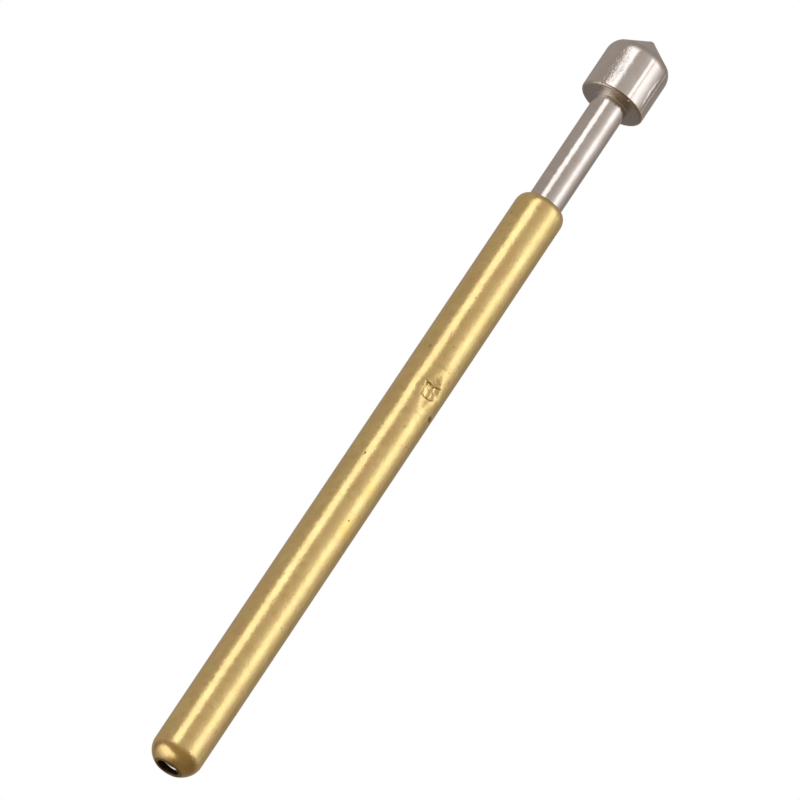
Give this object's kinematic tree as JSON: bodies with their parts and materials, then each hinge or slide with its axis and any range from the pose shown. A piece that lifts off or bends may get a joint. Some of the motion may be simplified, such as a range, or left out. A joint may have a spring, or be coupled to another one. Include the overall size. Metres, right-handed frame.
{
  "type": "pogo pin",
  "caption": "Spring-loaded contact probe: a plunger with a pointed head slides in a crimped tubular barrel against a coil spring.",
  "frame": {"origin": "on the axis, at the end of the domed tail", "axes": "+Z along the axis from the tail to the point; the two retaining dents face -Y and +Y"},
  "size_m": [0.0014, 0.0014, 0.0177],
  "materials": {
    "gold_plated_brass": "satin, drawn along the axis",
    "nickel_plated_steel": "satin, turned",
    "spring_steel": "drawn wire, bright"
  },
  "bodies": {
    "barrel_body": {"barrel": "gold_plated_brass", "spring": "spring_steel"},
    "plunger_body": {"plunger": "nickel_plated_steel"}
  },
  "joints": [
    {"name": "plunger_travel", "type": "slide", "parent": "barrel_body", "child": "plunger_body", "axis": [0, 0, -1], "range_m": [0, 0.0024], "stiffness_N_per_m": 320, "springref_m": -0.00125, "deforming": ["spring"]}
  ]
}
